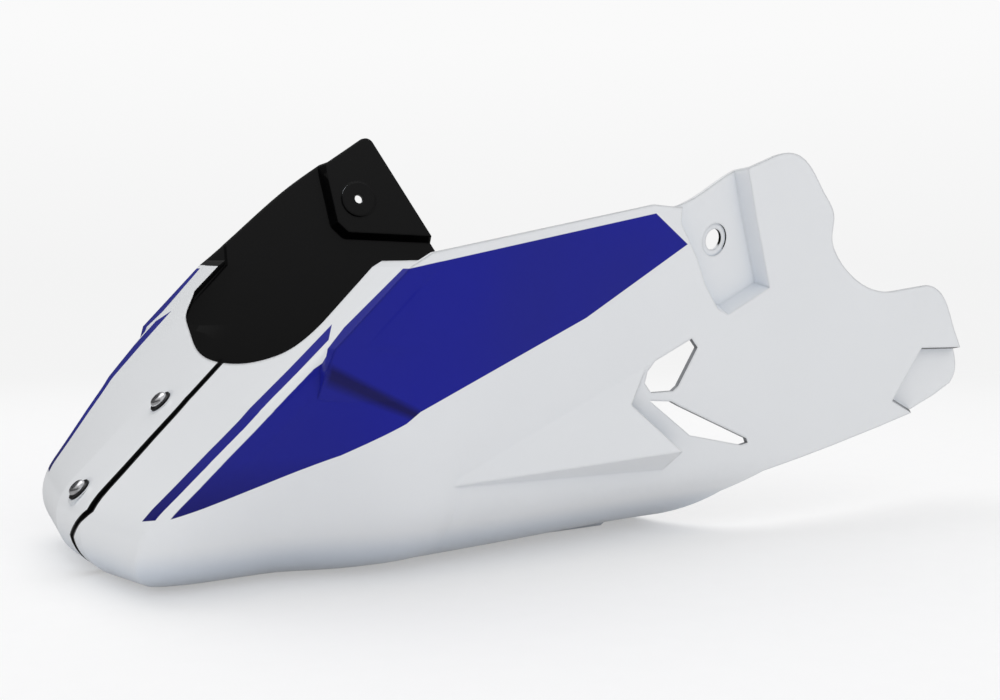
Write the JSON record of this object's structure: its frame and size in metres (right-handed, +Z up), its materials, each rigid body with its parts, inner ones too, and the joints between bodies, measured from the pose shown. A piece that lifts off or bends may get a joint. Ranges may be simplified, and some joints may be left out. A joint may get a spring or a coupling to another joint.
{
  "type": "motorbike belly pan",
  "caption": "Boat-shaped belly pan moulded in two lapped halves, with a sloping nose, flared sides, air vents and fixing holes; screws join the halves at the nose.",
  "frame": {"origin": "middle of the bounding box, on the plane the keel rests on", "axes": "+X to the rear of the bike, +Y to its right side, +Z up; the nose is at -X"},
  "size_m": [0.625, 0.325, 0.2664],
  "materials": {
    "moulding": "gloss paint outside, bare gloss black inside",
    "screw": "bright",
    "cap_washer": "satin",
    "washer": "zinc plated",
    "nut": "zinc plated"
  },
  "bodies": {
    "root": {"left_half": "moulding", "right_half": "moulding", "screw_lower": "screw", "screw_upper": "screw", "cap_washer_lower": "cap_washer", "cap_washer_upper": "cap_washer", "inner_washer_lower": "washer", "inner_washer_upper": "washer", "nut_lower": "nut", "nut_upper": "nut"}
  },
  "joints": []
}
